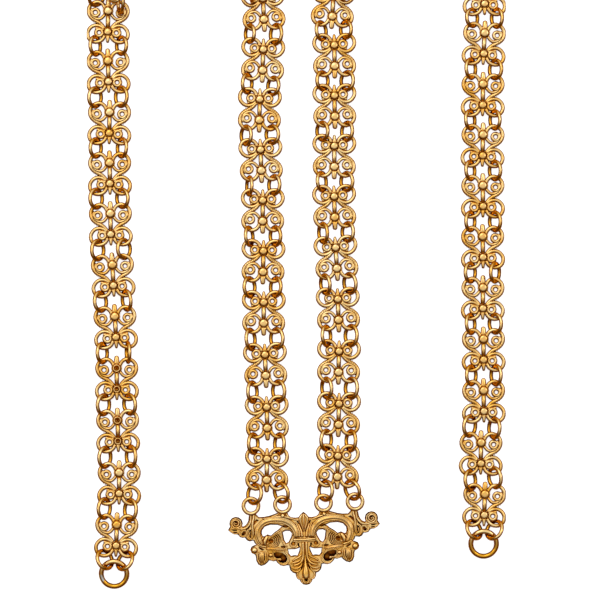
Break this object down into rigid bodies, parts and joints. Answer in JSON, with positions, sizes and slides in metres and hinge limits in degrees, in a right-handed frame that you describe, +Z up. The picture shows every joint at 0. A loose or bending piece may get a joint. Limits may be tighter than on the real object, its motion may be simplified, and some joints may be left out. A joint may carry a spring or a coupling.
{
  "type": "clergy chain",
  "caption": "Gilt chain of pierced scroll links on paired jump rings, with a cast scrollwork ornament in the middle and a large ring at each free end, laid flat.",
  "frame": {"origin": "on the surface that the chain rests on, under the middle of its outline", "axes": "+Z up, +Y along the two strands away from the ornament, +X across the strands"},
  "size_m": [0.1466, 0.243, 0.0147],
  "materials": {
    "chain_gold": "gilt cast brass, bright on the raised wires, with dark tarnish in the recesses",
    "cast_gold": "gilt cast brass, polished relief with brown patina in the grooves",
    "wire_gold": "gilt brass wire, polished"
  },
  "bodies": {
    "root": {"chain_left": "chain_gold", "chain_right": "chain_gold", "ornament": "cast_gold", "ornament_jump_ring_1": "wire_gold", "ornament_jump_ring_2": "wire_gold", "ornament_jump_ring_3": "wire_gold", "ornament_jump_ring_4": "wire_gold", "end_ring_left": "wire_gold", "end_jump_ring_left_inner": "wire_gold", "end_jump_ring_left_outer": "wire_gold", "end_ring_right": "wire_gold", "end_jump_ring_right_inner": "wire_gold", "end_jump_ring_right_outer": "wire_gold"}
  },
  "joints": []
}
